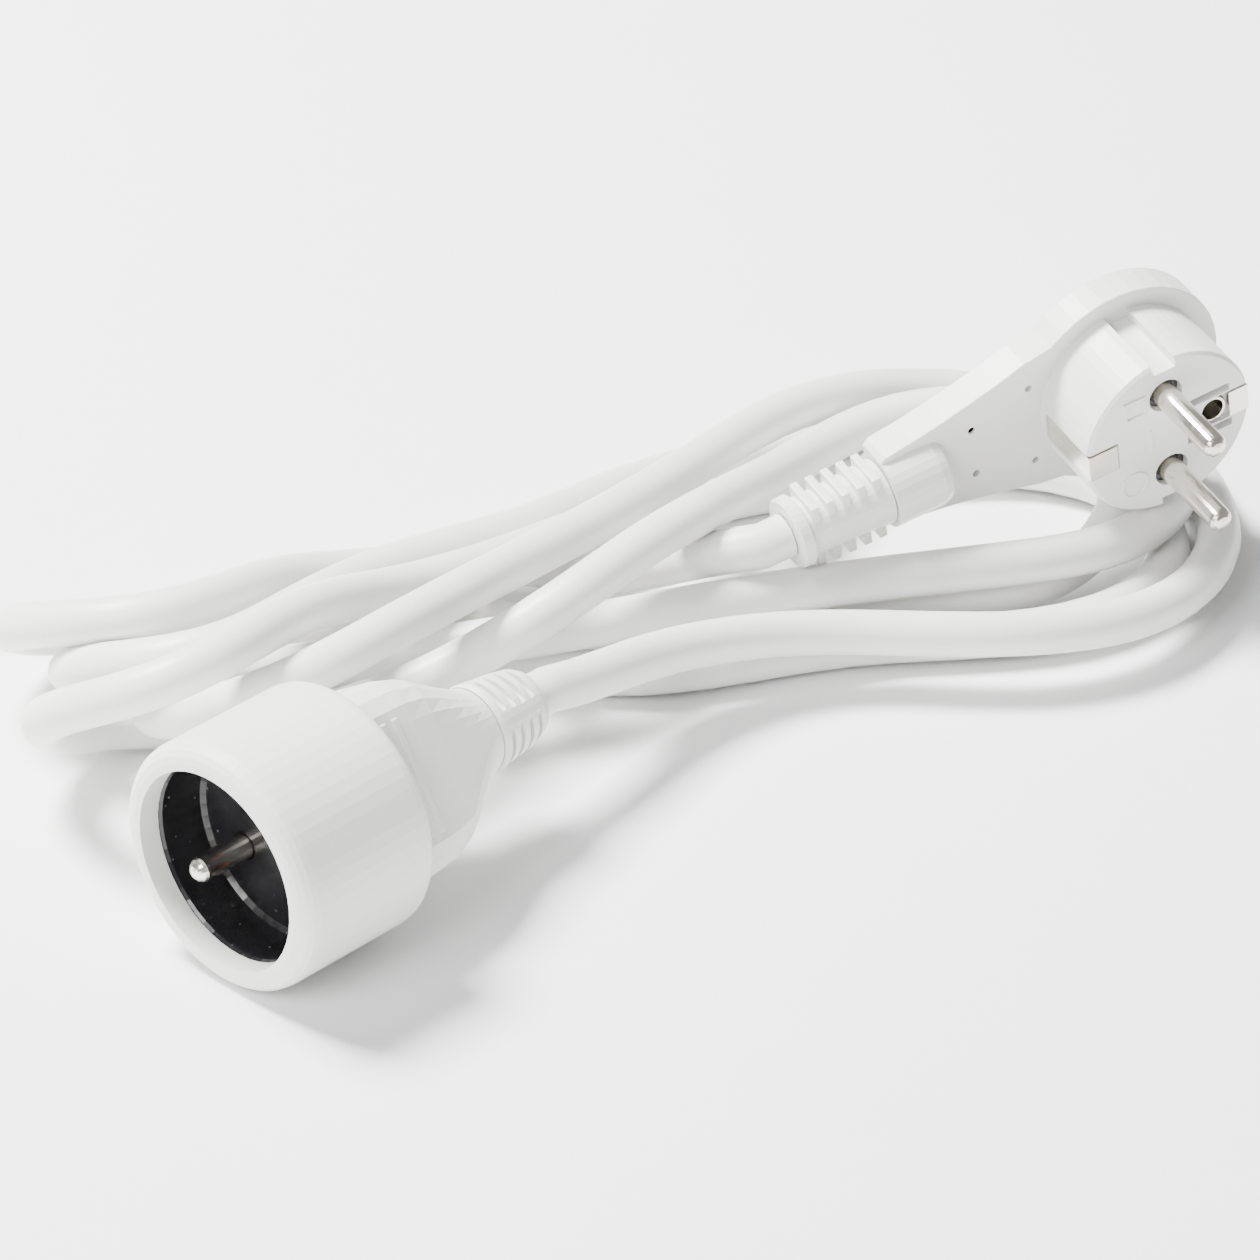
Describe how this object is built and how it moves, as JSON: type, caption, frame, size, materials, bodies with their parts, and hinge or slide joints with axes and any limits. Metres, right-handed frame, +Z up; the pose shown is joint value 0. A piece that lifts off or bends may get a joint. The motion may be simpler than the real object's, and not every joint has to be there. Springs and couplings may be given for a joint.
{
  "type": "extension cord",
  "caption": "Extension cord: a coiled round white mains cord with an earthed coupler socket on one end and a right-angle earthed plug with round pins on the other",
  "frame": {"origin": "on the floor under the middle of the socket", "axes": "+X along the socket towards its cord, +Z up, right-handed, metres"},
  "size_m": [0.2539, 0.1528, 0.0605],
  "materials": {
    "white_pvc": "soft moulded vinyl with a faint sheen",
    "black_thermoplastic": "glossy moulded",
    "brown_insulation": "extruded",
    "blue_insulation": "extruded",
    "green_yellow_insulation": "extruded, green with a yellow stripe",
    "red_thermoplastic": "moulded",
    "spring_steel": "drawn wire",
    "grey_thermoplastic": "moulded",
    "nickel_plated_brass": "nickel plate, slightly warm",
    "brass": "rolled brass"
  },
  "bodies": {
    "cord_set": {"contact_carrier": "grey_thermoplastic", "cord": "white_pvc", "earth_pin": "nickel_plated_brass", "earth_sleeve": "nickel_plated_brass", "earth_strap": "nickel_plated_brass", "line_contact": "brass", "line_pin": "nickel_plated_brass", "neutral_contact": "brass", "neutral_pin": "nickel_plated_brass", "pin_bridge": "grey_thermoplastic", "plug_body": "white_pvc", "plug_core_earth": "green_yellow_insulation", "plug_core_line": "brown_insulation", "plug_core_neutral": "blue_insulation", "plug_strain_relief": "white_pvc", "shutter_spring": "spring_steel", "socket_core_earth": "green_yellow_insulation", "socket_core_line": "brown_insulation", "socket_core_neutral": "blue_insulation", "socket_insert": "black_thermoplastic", "socket_shell": "white_pvc", "socket_strain_relief": "white_pvc"},
    "shutter": {"shutter": "red_thermoplastic"}
  },
  "joints": [
    {"name": "shutter_turn", "type": "hinge", "parent": "cord_set", "child": "shutter", "pos_m": [-0.0205, 0, 0.0235], "axis": [-1, 0, 0], "range_deg": [0, 40], "stiffness_Nm_per_rad": 0.004, "deforming": ["shutter_spring"]}
  ]
}
